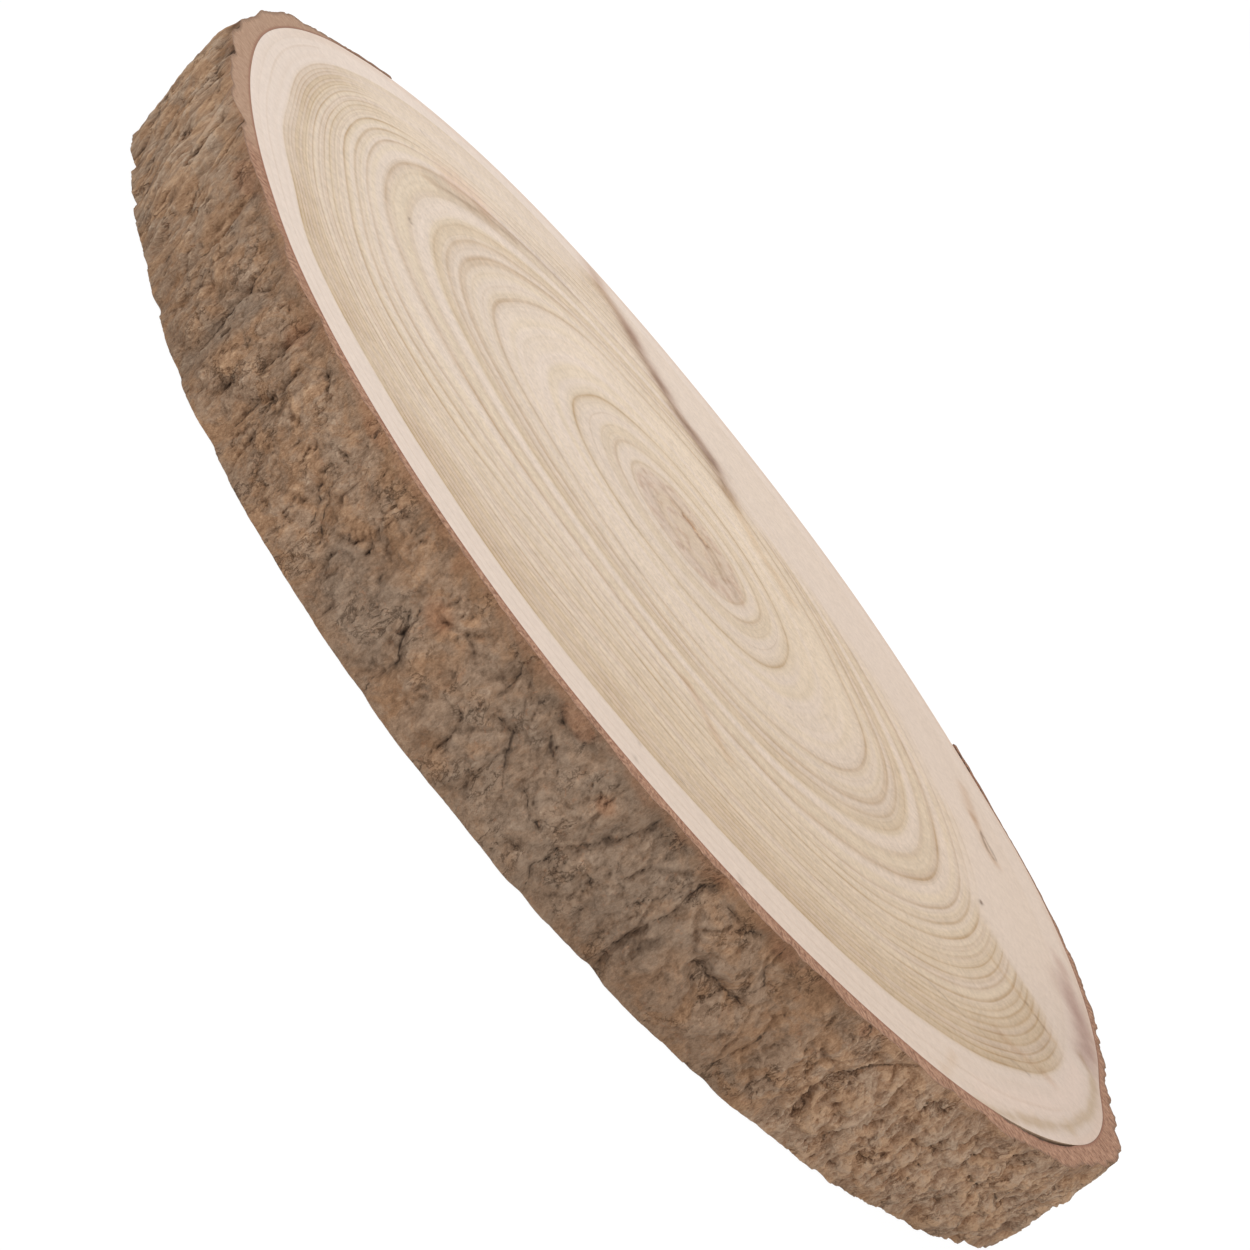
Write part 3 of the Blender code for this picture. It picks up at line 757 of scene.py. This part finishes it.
def face_fields(x, y, rims, angles, radii, stained):
    """Everything that the wood's material reads at each point, in millimetres from the pith."""
    names = ring_names(angles, radii, rims)
    names = names + 0.5 * fractal(x, y, 34, 3, 1.7) * rise(10, 40, names)
    turn = angles[None, :] + np.zeros(radii.shape)

    # The far side is pale, and rings show less there
    limit = np.interp(angles, *zip(*PALE_FROM), left=300, right=300)
    wide = 4.4 + 2.0 * drop(60, 90, angles) + 3.0 * rise(122, 136, angles)
    share = rise(-1, 1.2, (radii / MM - limit) / wide)
    clear = 1 - 0.8 * share
    pale = (0.92 - 0.17 * rise(60, 90, turn) - 0.42 * rise(120, 136, turn)) * share
    left = drop(-152, -128, turn)
    pale = np.maximum(pale, 0.75 * left * rise(150, 163, names))

    tint = np.ones((*x.shape, 3))
    across, beyond = x + PITH_OFF_AXIS[0], y + PITH_OFF_AXIS[1]
    tint *= 1 + (0.055 * rise(15, 65, beyond) + 0.035 * rise(100, 138, beyond))[:, :, None]
    tint = darkened(tint, rise(-130, 140, across), (0.115, 0.155, 0.20))
    tint = darkened(tint, rise(100, 145, across), (0.07, 0.07, 0.05))
    near_rim = drop(0.8, 3.2, (rims[None, :] - radii) / MM)
    bare = rise(0, 12, (turn + 30) % 360) * drop(205, 225, (turn + 30) % 360)
    tint = darkened(tint, near_rim * bare, (0.05, 0.09, 0.12))
    pith = drop(PITH_PATCH - 2.5, PITH_PATCH, np.hypot(x, y) + 1.2 * fractal(x, y, 7, 3, 5.1))
    tint = darkened(tint, pith, (0.06, 0.09, 0.085))
    mottled = rise(0.05, 0.45, fractal(x, y, 3, 4, 6.6) + 0.25 * rise(5, 14, np.abs(x)) - 0.1)
    tint = darkened(tint, pith * mottled, (0.13, 0.20, 0.25))

    wander = 1.5 * fractal(x, y, 6, 3, 9.3)
    mark = np.zeros(x.shape)
    if stained:
        for colour, width, path in STAINS:
            away = distance_to_path(x, y, pith_polar(path)) / width
            amount = peak(np.clip(away + wander / width * 0.8, 0, None))
            tint = darkened(tint, amount, 1 - np.array(colour))
        for strength, width, path in MARKS:
            away = distance_to_path(x, y, pith_polar(path)) / width
            mark = np.maximum(mark, strength * drop(0.6, 1.9, away))
        for strength, width, path in PITH_LINES:
            away = distance_to_path(x + 0.4 * wander, y + 0.4 * wander, np.array(path) - PITH_OFF_AXIS)
            line = strength * peak(away / width)
            tint = darkened(tint, line, (1, 1.25, 1.45))
    return names, clear, pale, tint, mark


def add_piece(name, points, faces, materials, slot, node, face_materials=None, **fields):
    """One mesh piece that stands for a CAD node, with its fields kept as attributes."""
    mesh = bpy.data.meshes.new(name)
    points = np.clip(points, cad_box[0], cad_box[1])
    mesh.from_pydata(points.tolist(), [], faces)
    for field, values in fields.items():
        if values.ndim == 1:
            made = mesh.attributes.new(field, "FLOAT", "POINT")
            made.data.foreach_set("value", values.astype(np.float32))
        else:
            made = mesh.attributes.new(field, "FLOAT_COLOR", "POINT")
            full = np.concatenate((values, np.ones((len(values), 1))), axis=1)
            made.data.foreach_set("color", full.astype(np.float32).ravel())
    for material in materials:
        mesh.materials.append(material)
    if face_materials is not None:
        mesh.polygons.foreach_set("material_index", face_materials)
    mesh.shade_smooth()
    mesh.set_sharp_from_angle(angle=math.radians(SHARP_ANGLE))
    piece = add_object(name, mesh)
    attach(piece, "root")
    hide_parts(node)


def disc_faces(rings, columns, upwards):
    """Faces of a disc whose first point is its middle, ring after ring."""
    faces = []
    for column in range(columns):
        after = (column + 1) % columns
        faces.append((0, 1 + column, 1 + after))
        for ring in range(rings - 1):
            low = 1 + ring * columns
            high = low + columns
            faces.append((low + column, high + column, high + after, low + after))
    return faces if upwards else [face[::-1] for face in faces]


def bare_share(angles_about_pith, radii):
    """How much of the rim shows at each column: 1 where the bark has come away."""
    turns = np.radians(angles_about_pith)
    x = PITH[0] - LOG_AXIS[0] + radii * np.cos(turns)
    y = PITH[1] - LOG_AXIS[1] + radii * np.sin(turns)
    about_log = np.degrees(np.arctan2(y, x))
    return rise(BARK_TO - 5, BARK_TO + 1, about_log) * drop(BARK_FROM + 359, BARK_FROM + 365, about_log)


def make_wood():
    angles = np.arange(WOOD_COLUMNS) * 360.0 / WOOD_COLUMNS - 180.0
    turns = np.radians(angles)
    brim = outline(THICKNESS, angles)
    foot = outline(0, angles)
    bare = bare_share(angles, brim)
    worn = (0.04 + 0.36 * bare) * MM
    face = wood_face_material()

    def disc(rims, rings, height, stained):
        shares = np.arange(1, rings + 1)[:, None] / rings
        radii = np.concatenate((np.zeros((1, WOOD_COLUMNS)), shares * rims[None, :]))
        x = radii * np.cos(turns) / MM
        y = radii * np.sin(turns) / MM
        names, clear, pale, tint, mark = face_fields(x, y, rims, angles, radii, stained)
        z = np.full(x.shape, height)
        if stained:
            away = distance_to_path(x, y, np.array(PITH_CRACK) - PITH_OFF_AXIS)
            z = z - 1.1 * MM * drop(0.25, 0.75, away + 0.3 * fractal(x, y, 1.4, 2, 3.3))
            mark = np.maximum(mark, 0.75 * drop(0.2, 0.9, away))
            stain = peak(away / 1.8)
            tint = darkened(tint, stain, (0.16, 0.22, 0.28))
        keep = np.concatenate(([0], np.arange(WOOD_COLUMNS, x.size)))
        points = np.stack((x * MM + PITH[0], y * MM + PITH[1], z), axis=-1).reshape(-1, 3)[keep]
        fields = {"ring": names, "clear": clear, "pale": pale, "mark": mark}
        fields = {key: value.ravel()[keep] for key, value in fields.items()}
        fields["tint"] = tint.reshape(-1, 3)[keep]
        return points, fields

    points, fields = disc(brim - worn, FACE_RINGS, THICKNESS, True)
    add_piece("wood_face", points, disc_faces(FACE_RINGS, WOOD_COLUMNS, True), [face], "wood", "wood",
              **fields)

    # Rim rows from the upper face down to the underside, worn at both edges
    heights, tuck = np.array(RIM_ROWS).T
    heights = heights * MM
    heights = heights * (THICKNESS / heights[0])
    share = (heights / THICKNESS)[:, None]
    radii = foot + (brim - foot) * share - worn * tuck[:, None]
    flutes = fractal(np.cos(turns) * 60 + 0 * share, np.sin(turns) * 60 + share * 2, 1.6, 3, 4.4)
    radii = radii - 0.22 * MM * bare * (1 + flutes) * rise(0, 0.4, 1 - tuck[:, None])
    rim = np.stack(
        (radii * np.cos(turns) + PITH[0], radii * np.sin(turns) + PITH[1], heights[:, None] + 0 * radii),
        axis=-1,
    ).reshape(-1, 3)
    under, under_fields = disc(foot - worn, UNDERSIDE_RINGS, 0, False)
    faces = disc_faces(UNDERSIDE_RINGS, WOOD_COLUMNS, False)
    count = len(faces)
    first = len(under)
    for row in range(len(heights) - 1):
        for column in range(WOOD_COLUMNS):
            after = (column + 1) % WOOD_COLUMNS
            high = first + row * WOOD_COLUMNS
            low = high + WOOD_COLUMNS
            faces.append((high + column, low + column, low + after, high + after))
    rim_fields = {
        key: np.concatenate((value, np.full((len(rim), *value.shape[1:]), value.max())))
        for key, value in under_fields.items()
    }
    add_piece(
        "wood_body", np.concatenate((under, rim)), faces, [face, wood_rim_material()], "wood", "wood",
        face_materials=[0] * count + [1] * (len(faces) - count), **rim_fields,
    )


def plates(x, y, layer):
    """Cells of bark: how near each point is to a border, and a height for its cell."""
    points = np.stack((x.ravel(), y.ravel(), np.full(x.size, layer)), axis=-1).tolist()
    cells = [noise.voronoi(Vector(point)) for point in points]
    border = np.array([d[1] - d[0] for d, _ in cells]).reshape(x.shape)
    height = np.array([noise.noise(near[0] * 3.7) for _, near in cells]).reshape(x.shape)
    return border, height


def patches(along, up, places, ragged):
    """Soft-edged patches at the listed places, from 0 to 1."""
    total = np.zeros(along.shape)
    for angle, height, wide, tall in places:
        away = np.hypot((along - angle * PER_DEGREE) / wide, (up - height) / tall)
        total = np.maximum(total, drop(0.55, 1.15, away + ragged))
    return total


def bark_columns():
    near = np.arange(*FINE_COLUMNS)
    back = np.linspace(BARK_FROM, near[0], BACK_COLUMNS)[:-1]
    front = np.linspace(near[-1], BARK_TO, FRONT_COLUMNS)[1:]
    return np.concatenate((back, near, front))


def reached(tree, turns, levels, inwards=True):
    """How far out a grid of rays meets the surface. A miss takes the next column's value."""
    found = np.array([
        [reach(tree, turn, level, inwards) for turn, level in zip(*line)] for line in zip(turns, levels)
    ])
    for order in (range(1, len(found)), range(len(found) - 2, -1, -1)):
        for column in order:
            beside = found[column - order.step]
            found[column] = np.where(np.isnan(found[column]), beside, found[column])
    return found


def find_end(tree, inside, outside, height):
    """The angle where the bark ends at a height, between one with bark and one without."""
    for _ in range(END_HALVINGS):
        middle = (inside + outside) / 2
        if math.isnan(reach(tree, middle, height)):
            outside = middle
        else:
            inside = middle
    return inside


def bark_walls():
    """The bark's angles and levels, how far out its walls lie, and its gap to the wood."""
    bark = surface("bark")
    wood = surface("wood")
    plain = bark_columns()
    levels = np.linspace(THICKNESS, 0, BARK_ROWS + 1)
    start, end = (
        np.array([find_end(bark, at + inwards, at - inwards, level) for level in levels])
        for at, inwards in ((BARK_FROM, END_ROOM), (BARK_TO, -END_ROOM))
    )
    fade_start = np.exp(-(plain - BARK_FROM) / END_FADE)[:, None]
    fade_end = np.exp(-(BARK_TO - plain) / END_FADE)[:, None]
    angles = plain[:, None] + (start - BARK_FROM) * fade_start + (end - BARK_TO) * fade_end
    heights = levels[None, :] + np.zeros(angles.shape)
    cast = np.clip(angles, start + 0.06, end - 0.06)

    few = slice(0, BARK_ROWS + 1, BARK_ROWS // INNER_ROWS)
    outer = soften(soften(reached(bark, cast, heights), 5, 1), 3, 0)
    timber = reached(wood, cast[:, few], heights[:, few])
    gap = reached(bark, cast[:, few], heights[:, few], False) - timber
    gap = 0.03 * MM + (gap - 0.03 * MM) * rise(CLOSED_GAP, OPEN_GAP, gap / MM)
    inner = timber + gap
    inner_all = np.array([np.interp(-levels, -levels[few], line) for line in inner])
    return angles, levels, outer, inner, inner_all, gap


def bark_zones(angles):
    """Where the bark is drawn out in ridges, calm, and scaly."""
    drawn = drop(-152, -134, angles)
    calm = rise(-116, -98, angles) * drop(-58, -48, angles)
    scaly = rise(-56, -44, angles)
    return drawn, calm, scaly


def bark_relief(angles, along, up, ease):
    """The bark's relief in millimetres, how far each point is from a crack, and its furrows."""
    # Plates with cracks between them, smaller flakes on the plates, and grit
    drawn, calm, scaly = bark_zones(angles)
    warp_a = along + 3.2 * fractal(along, up, 12, 4, 11)
    warp_b = up + 3.2 * fractal(along, up, 12, 4, 23)
    border, plate = plates(warp_a / 10.5, warp_b / 17, 0.4)
    seam, flake = plates(warp_a / 3.6, warp_b / 6.2, 7.4)
    open_here = rise(-0.25, 0.35, fractal(along, up, 9, 2, 31))
    coarse = fractal(along, up * 0.6, 5, 4, 41)
    grit = fractal(along, up * 0.7, 1.5, 3, 47)
    terrace = coarse * 2.6
    terrace = np.floor(terrace) + rise(0.70, 1, terrace - np.floor(terrace))
    relief = 0.62 * plate + 0.40 * flake + 0.32 * terrace + 0.12 * coarse
    relief = relief + 0.22 * grit * (1 - 0.5 * calm)
    relief = relief - drop(0, 0.14, border) * (0.15 + 0.5 * open_here)
    relief = relief - drop(0, 0.20, seam) * 0.25 * open_here

    # Upright ridges and furrows at the left, scales at the right, and crannies all round
    ridges = 1.60 * fractal(along + 0.25 * up, up * 0.22, 6.8, 4, 89)
    ridges = ridges + 0.28 * fractal(along + 0.2 * up, up * 0.10, 1.7, 3, 97) + 0.15 * grit
    furrow = peak(fractal(along + 0.25 * up, up * 0.22, 7, 3, 101) / 0.10) * open_here
    relief = relief * (1 - 0.75 * drawn) + drawn * (ridges - 1.1 * furrow)
    crannies = fractal(along + 0.15 * up, up * 0.45, 4.2, 3, 103)
    crannies = peak(crannies / 0.06) * rise(0.05, 0.4, fractal(along, up, 5, 2, 107))
    scales = fractal(along + 0.35 * up, up * 0.42, 5, 5, 109) * 2.4
    scales = np.floor(scales) + rise(0.55, 1, scales - np.floor(scales))
    relief = relief + scaly * 0.80 * scales
    relief = relief - (0.75 + 0.6 * scaly) * crannies * (1 - 0.4 * calm)

    # The listed cracks wander a little, and the listed flakes stand proud
    jag_a = along + 0.9 * fractal(along, up, 3.4, 4, 53)
    jag_b = up + 0.9 * fractal(along, up, 3.4, 4, 59)
    split = np.minimum(border * 5.2 + 0.45 + 2.6 * (1 - open_here), 3)
    split = np.minimum(split, 0.25 + 2.5 * (1 - crannies))
    split = np.minimum(split, 0.14 + 1.8 * (1 - drawn * furrow))
    for width, depth, path in CRACKS:
        way = [(angle * PER_DEGREE, height) for angle, height in path]
        away = distance_to_path(jag_a, jag_b, way)
        relief = relief - 0.8 * depth * peak(away / (width + 0.2))
        split = np.minimum(split, away / max(width, 0.5) + 0.1)
    for angle, height, wide, tall, lift in FLAKES:
        away = np.hypot((jag_a - angle * PER_DEGREE) / wide, (jag_b - height) / tall)
        relief = relief + lift * drop(0.72, 1.05, away + 0.12 * coarse)

    # It dies away on thin bark, at the foot and at the brim
    relief = relief * (0.25 + 0.75 * ease) * (0.4 + 0.6 * rise(0, 6, up))
    brim = (0.98 - 0.3 * rise(-60, -40, angles)) * rise(27, 31, up)
    relief = relief * (1 - brim) + brim * 0.8 * soften(relief, 34, 0)
    return relief, split, furrow


def bark_colour_fields(angles, along, up, fall, furrow):
    """How much painted shade and tone, grey and rust each point of the bark has."""
    drawn, calm, scaly = bark_zones(angles)
    # Painted shade: darker in the small and the wide hollows of the relief and in its furrows, more so
    # where scaly or drawn out. Then darker towards the brim and where calm, and lighter where scaly,
    # drawn out or at the left end.
    painted_shade_and_tone = 0.34 * (soften(soften(fall, 5, 0), 5, 1) - fall)
    wide_painted_shade = soften(soften(fall, 60, 0), 60, 1) - fall
    painted_shade_and_tone = (painted_shade_and_tone + 0.11 * wide_painted_shade) * (1 + 0.35 * scaly + 0.45 * drawn)
    painted_shade_and_tone = np.clip(painted_shade_and_tone, -0.20, 0.55) + 0.12 * rise(24, 30, up) + 0.22 * drawn * furrow
    painted_shade_and_tone = painted_shade_and_tone + 0.10 * calm - 0.175 * scaly - 0.05 * drop(-142, -120, angles) - 0.10 * drawn
    ragged = 0.28 * fractal(along, up, 7, 4, 61)
    grey = 0.66 * patches(along, up, GREY_PATCHES, ragged)
    grey = np.maximum(grey, 0.40 * rise(0.2, 0.7, fractal(along, up, 16, 3, 67)))
    grey = grey * (1 - 0.55 * scaly)
    rust = 0.6 * patches(along, up, RUST_PATCHES, ragged)
    band = rise(29.6, 31.8, up + 2.4 * fractal(along, up, 5, 3, 71))
    rust = np.maximum(rust, 0.42 * band)
    rust = np.maximum(rust, 0.24 * scaly)
    return painted_shade_and_tone, grey, rust


def cap_faces(size):
    """Faces that close one torn end, numbered within a column of the given size."""
    last = BARK_ROWS + 1 + len(FOOT_SHARES) + INNER_ROWS
    inner = [last - k for k in range(INNER_ROWS + 1)]
    faces = []
    a = b = 0
    while a < BARK_ROWS or b < INNER_ROWS:
        if b == INNER_ROWS or (a < BARK_ROWS and a / BARK_ROWS <= b / INNER_ROWS):
            faces.append((a, a + 1, inner[b]))
            a += 1
        else:
            faces.append((a, inner[b + 1], inner[b]))
            b += 1
    brim = range(last, size)
    foot = (BARK_ROWS + 1, BARK_ROWS + 2, inner[-1])
    for corner, line in ((0, brim), (BARK_ROWS, foot)):
        faces += [(corner, two, one) for one, two in zip(line, line[1:])]
    return faces


def make_bark():
    angles, levels, outer, inner, inner_all, gap = bark_walls()
    along = angles * PER_DEGREE
    up = levels / MM + np.zeros(angles.shape)

    # At the left the sawn edge is even
    even = 0.85 * rise(23, 31, up) * drop(-160, -148, angles)
    even = even * (0.35 + 0.65 * rise(-194, -184, angles))
    outer = outer + (soften(outer, 40, 0) - outer) * even
    thick = (outer - inner_all) / MM

    # The bark thins towards its torn ends
    relief, split, furrow = bark_relief(angles, along, up, rise(1, 3.4, thick))
    shaped = outer + relief * MM * rise(0, 3, thick - LEAST_BARK)
    full = rise(BARK_FROM, BARK_FROM + 9, angles) * drop(BARK_TO - 20, BARK_TO - 2, angles)
    shaped = inner_all + (shaped - inner_all) * (0.35 + 0.65 * full)
    shaped = np.maximum(shaped, inner_all + LEAST_BARK * MM)

    fall = (shaped - outer) / MM
    painted_shade_and_tone, grey, rust = bark_colour_fields(angles, along, up, fall, furrow)
    drawn, calm, scaly = bark_zones(angles)
    fields = {"painted_shade_and_tone": painted_shade_and_tone, "grey": grey, "rust": rust, "split": split, "drawn": drawn}
    fields["rough"] = 0.72 - 0.24 * calm + 0.24 * drawn + 0.06 * scaly
    fields["gape"] = rise(0.25, 0.6, gap[:, :1] / MM + 0 * along)
    chips = np.clip(fractal(along[:, :1], up[:, :1], 1.8, 3, 79), 0, 1)[:, 0] * 0.3 * MM
    uneven = [0.10 * MM * (1 + fractal(along[:, 0], along[:, 0] * 0 + k, 2, 2, 83))
              for k in range(BRIM_STEPS)]

    # Each section: outside from brim to foot, sawn foot, inside, sawn brim
    points = []
    places = []
    depths = []

    def put(radius, height, column, row, skin, timber_side):
        turn = math.radians(angles[column, row])
        points.append((radius * math.cos(turn) + LOG_AXIS[0], radius * math.sin(turn) + LOG_AXIS[1],
                       height))
        places.append((column, row))
        depths.append((skin / MM, timber_side / MM))

    for column in range(len(angles)):
        for row in range(BARK_ROWS + 1):
            level = levels[row] - (chips[column] if row == 0 else 0)
            put(shaped[column, row], level, column, row, 0, shaped[column, row] - inner_all[column, row])
        wide = shaped[column, -1] - inner_all[column, -1]
        for share in FOOT_SHARES:
            put(shaped[column, -1] - share * wide, levels[-1], column, BARK_ROWS, share * wide,
                (1 - share) * wide)
        for index in range(INNER_ROWS, -1, -1):
            row = index * (BARK_ROWS // INNER_ROWS)
            put(inner[column, index], levels[row], column, row,
                shaped[column, row] - inner[column, index], 0)
        wide = shaped[column, 0] - inner_all[column, 0]
        for step in range(1, BRIM_STEPS):
            share = 1 - step / BRIM_STEPS
            level = levels[0] - uneven[step][column] - chips[column] * max(0, 0.5 - share)
            put(shaped[column, 0] - share * wide, level, column, 0, share * wide, (1 - share) * wide)

    size = len(points) // len(angles)
    faces = []
    kinds = []
    for column in range(len(angles) - 1):
        here, there = column * size, (column + 1) * size
        for index in range(size):
            after = (index + 1) % size
            faces.append((here + index, here + after, there + after, there + index))
            kinds.append(0 if index < BARK_ROWS else 1)
    for base, turned in ((0, False), ((len(angles) - 1) * size, True)):
        for face in cap_faces(size):
            face = tuple(base + k for k in face)
            faces.append(face if turned else face[::-1])
            kinds.append(0)
    columns, rows = np.array(places).T
    fields = {name: field[columns, rows] for name, field in fields.items()}
    fields["from_skin"], fields["from_wood"] = np.array(depths).T
    add_piece("bark_strip", np.array(points), faces, [bark_material(), sawn_bark_material()], "bark",
              "bark", face_materials=kinds, **fields)


def make_camera():
    data = bpy.data.cameras.new("camera")
    camera = add_object("camera", data)
    down = math.radians(LOOK_DOWN)
    roll = math.radians(ROLL)
    ahead = Vector((0, math.cos(down), -math.sin(down)))
    right = Vector((1, 0, 0))
    up = right.cross(ahead)
    target = Vector((*LOG_AXIS, THICKNESS))
    axes = Matrix((
        math.cos(roll) * right + math.sin(roll) * up,
        -math.sin(roll) * right + math.cos(roll) * up,
        -ahead,
    )).transposed()
    camera.matrix_world = Matrix.Translation(target - ahead * DISTANCE) @ axes.to_4x4()
    data.sensor_width = SENSOR
    data.lens = PIXELS_PER_METRE * DISTANCE * SENSOR / PICTURE
    data.shift_x = -MIDDLE_RIGHT / PICTURE
    data.shift_y = -MIDDLE_UP / PICTURE
    data.clip_start = 0.05
    data.clip_end = 50
    bpy.context.scene.camera = camera


def add_light(name, place, target, size, power, colour):
    data = bpy.data.lights.new(name, "AREA")
    data.shape = "RECTANGLE"
    data.size, data.size_y = size
    data.energy = power
    data.color = colour
    lamp = add_object(name, data)
    lamp.location = place
    lamp.rotation_euler = (Vector(target) - Vector(place)).to_track_quat("-Z", "Y").to_euler()


def white_to_camera(tree, plain, seen, output, socket):
    """Light of one strength for what is seen straight on, and of another for what it lights."""
    path = tree.nodes.new("ShaderNodeLightPath")
    mix = tree.nodes.new("ShaderNodeMixShader")
    tree.links.new(path.outputs["Is Camera Ray"], mix.inputs[0])
    tree.links.new(plain, mix.inputs[1])
    tree.links.new(seen, mix.inputs[2])
    tree.links.new(mix.outputs[0], output.inputs[socket])


def make_studio():
    world = bpy.data.worlds.new("studio")
    world.use_nodes = True
    tree = world.node_tree
    plain = tree.nodes["Background"]
    plain.inputs[0].default_value = WHITE
    plain.inputs[1].default_value = AMBIENT
    seen = tree.nodes.new("ShaderNodeBackground")
    seen.inputs[0].default_value = WHITE
    white_to_camera(tree, plain.outputs[0], seen.outputs[0], tree.nodes["World Output"], 0)
    bpy.context.scene.world = world

    mesh = bpy.data.meshes.new("floor")
    corners = [(x * FLOOR_HALF, y * FLOOR_HALF, 0) for x, y in ((-1, -1), (1, -1), (1, 1), (-1, 1))]
    mesh.from_pydata(corners, [], [(0, 1, 2, 3)])
    floor = add_object("floor", mesh)
    floor.location.z = -FLOOR_DROP
    material = bpy.data.materials.new("floor")
    material.use_nodes = True
    tree = material.node_tree
    plain = tree.nodes["Principled BSDF"]
    plain.inputs["Base Color"].default_value = FLOOR_COLOUR
    plain.inputs["Roughness"].default_value = 1.0
    plain.inputs["Specular IOR Level"].default_value = 0.0
    glow = tree.nodes.new("ShaderNodeEmission")
    glow.inputs["Strength"].default_value = FLOOR_GLOW
    faint = tree.nodes.new("ShaderNodeMixShader")
    faint.inputs[0].default_value = FLOOR_SHADE
    tree.links.new(glow.outputs[0], faint.inputs[1])
    tree.links.new(plain.outputs[0], faint.inputs[2])
    white_to_camera(tree, plain.outputs[0], faint.outputs[0], tree.nodes["Material Output"], 0)
    mesh.materials.append(material)

    for light in LIGHTS:
        add_light(*light)


bpy.context.scene.view_settings.view_transform = "Standard"
make_wood()
make_bark()
make_camera()
make_studio()
